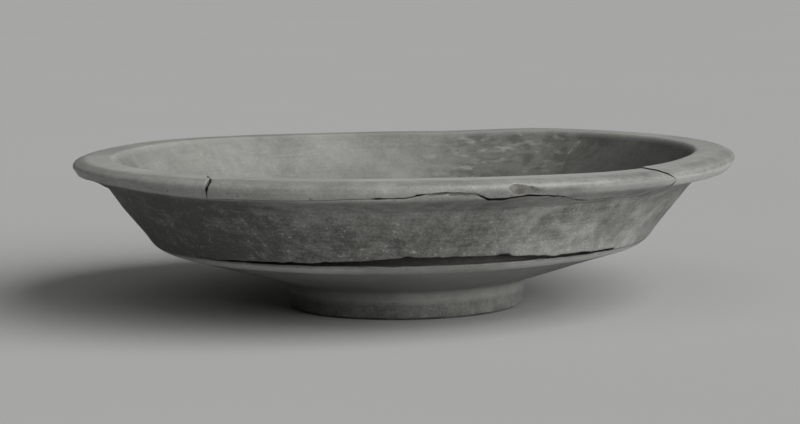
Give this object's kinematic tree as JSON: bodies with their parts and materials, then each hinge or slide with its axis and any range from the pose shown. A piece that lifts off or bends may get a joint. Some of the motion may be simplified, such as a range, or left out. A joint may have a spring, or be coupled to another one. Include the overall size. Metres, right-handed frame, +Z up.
{
  "type": "mended flanged bowl",
  "caption": "Shallow wheel-thrown pottery bowl with a flat flanged rim, straight flaring wall, soft carination and ring foot, mended from sherds with adhesive in the breaks.",
  "frame": {"origin": "centre of the ring foot's standing face", "axes": "+Z up along the vessel's axis; the open carination break faces -Y, the front of the picture"},
  "size_m": [0.26, 0.26, 0.061],
  "materials": {
    "slipped_clay": "satin",
    "old_adhesive": "matte"
  },
  "bodies": {
    "root": {"base_with_foot": "slipped_clay", "left_wall_sherd": "slipped_clay", "back_wall_sherd": "slipped_clay", "right_wall_sherd": "slipped_clay", "front_wall_sherd": "slipped_clay", "front_rim_sherd_left": "slipped_clay", "front_rim_sherd_right": "slipped_clay", "left_break_adhesive": "old_adhesive", "right_break_adhesive": "old_adhesive", "back_left_break_adhesive": "old_adhesive", "back_right_break_adhesive": "old_adhesive", "left_carination_adhesive": "old_adhesive", "back_carination_adhesive": "old_adhesive", "right_carination_adhesive": "old_adhesive", "front_carination_adhesive": "old_adhesive", "rim_seam_adhesive_left": "old_adhesive", "rim_seam_adhesive_right": "old_adhesive", "rim_cross_adhesive": "old_adhesive"}
  },
  "joints": []
}
